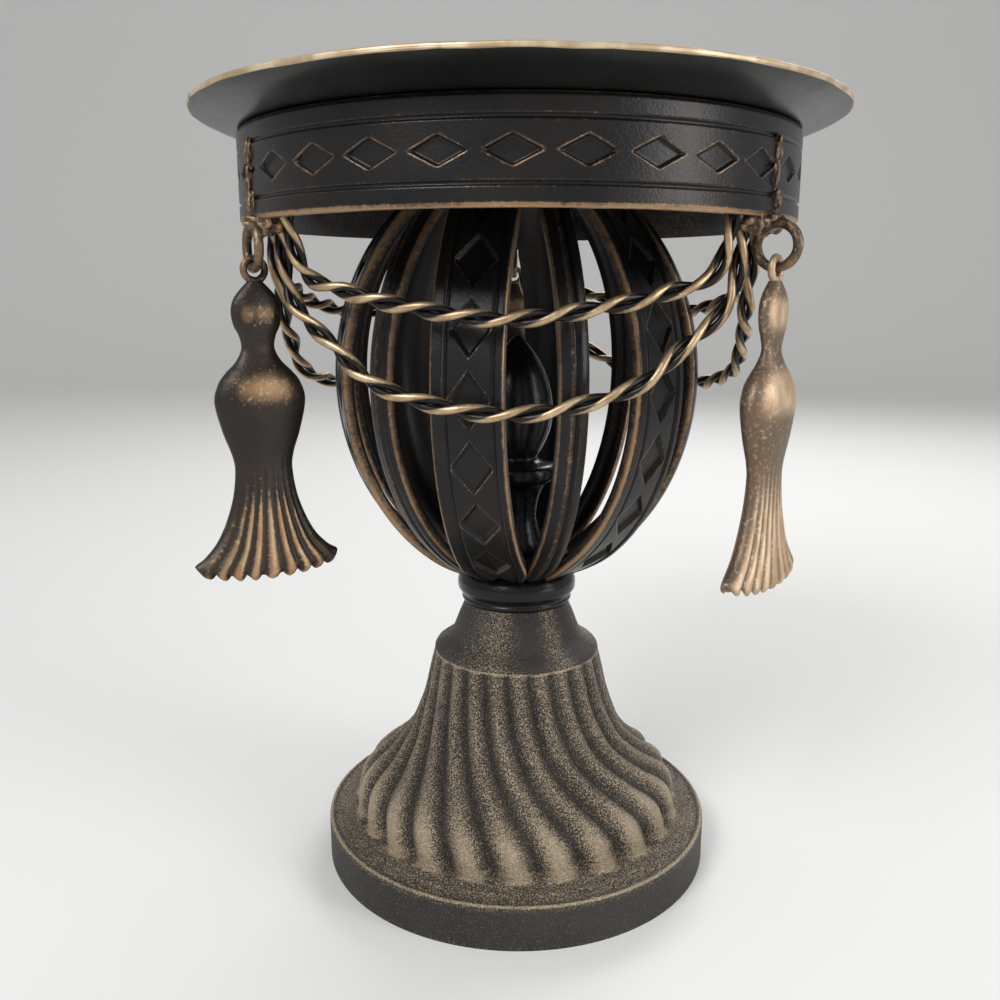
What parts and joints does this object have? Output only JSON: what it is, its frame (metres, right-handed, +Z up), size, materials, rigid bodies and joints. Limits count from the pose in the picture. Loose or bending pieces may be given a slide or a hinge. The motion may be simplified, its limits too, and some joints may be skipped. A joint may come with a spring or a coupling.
{
  "type": "candle stand",
  "caption": "Candle stand with a swirled fluted foot, a caged ball of metal straps round a finial, and a wide plate hung with twisted wire swags and tassels.",
  "frame": {"origin": "middle of the foot's underside, on the surface it stands on", "axes": "+Z up; the front, which the picture shows, looks along -Y; +X to the right of the front"},
  "size_m": [0.192, 0.192, 0.2381],
  "materials": {
    "cast_bronze": "gritty sand-cast metal, blackened and dry-brushed with dull gold",
    "dark_bronze": "glossy near-black",
    "strap_bronze": "blackened, rubbed to copper and gold on the edges",
    "plate_black": "smooth black with a worn pale rim",
    "rubbed_gold": "dark with gold rubbed along the raised strands"
  },
  "bodies": {
    "stand": {"foot_casting": "cast_bronze", "tie_bolt": "dark_bronze", "neck_collar": "dark_bronze", "lower_cup": "dark_bronze", "finial": "dark_bronze", "top_hub": "dark_bronze", "plate": "plate_black", "band": "strap_bronze", "wide_strap_1": "strap_bronze", "wide_strap_2": "strap_bronze", "wide_strap_3": "strap_bronze", "wide_strap_4": "strap_bronze", "wide_strap_5": "strap_bronze", "wide_strap_6": "strap_bronze", "narrow_strap_1": "strap_bronze", "narrow_strap_2": "strap_bronze", "narrow_strap_3": "strap_bronze", "narrow_strap_4": "strap_bronze", "narrow_strap_5": "strap_bronze", "narrow_strap_6": "strap_bronze", "ring_left": "cast_bronze", "ring_right": "cast_bronze", "ring_back": "cast_bronze", "swag_front_upper_wire_a": "rubbed_gold", "swag_front_upper_wire_b": "rubbed_gold", "swag_front_lower_wire_a": "rubbed_gold", "swag_front_lower_wire_b": "rubbed_gold", "swag_right_upper_wire_a": "rubbed_gold", "swag_right_upper_wire_b": "rubbed_gold", "swag_right_lower_wire_a": "rubbed_gold", "swag_right_lower_wire_b": "rubbed_gold", "swag_left_upper_wire_a": "rubbed_gold", "swag_left_upper_wire_b": "rubbed_gold", "swag_left_lower_wire_a": "rubbed_gold", "swag_left_lower_wire_b": "rubbed_gold"},
    "tassel_left": {"tassel_left": "rubbed_gold"},
    "tassel_right": {"tassel_right": "rubbed_gold"},
    "tassel_back": {"tassel_back": "rubbed_gold"}
  },
  "joints": [
    {"name": "tassel_left_swing", "type": "hinge", "parent": "stand", "child": "tassel_left", "pos_m": [-0.07205, -0.0416, 0.19255], "axis": [0.5, -0.866, 0], "range_deg": [-45, 8]},
    {"name": "tassel_right_swing", "type": "hinge", "parent": "stand", "child": "tassel_right", "pos_m": [0.06619, -0.05253, 0.19255], "axis": [0.7833, -0.6216, 0], "range_deg": [-30, 30]},
    {"name": "tassel_back_swing", "type": "hinge", "parent": "stand", "child": "tassel_back", "pos_m": [0, 0.0845, 0.19255], "axis": [0, 1, 0], "range_deg": [-30, 30]}
  ]
}
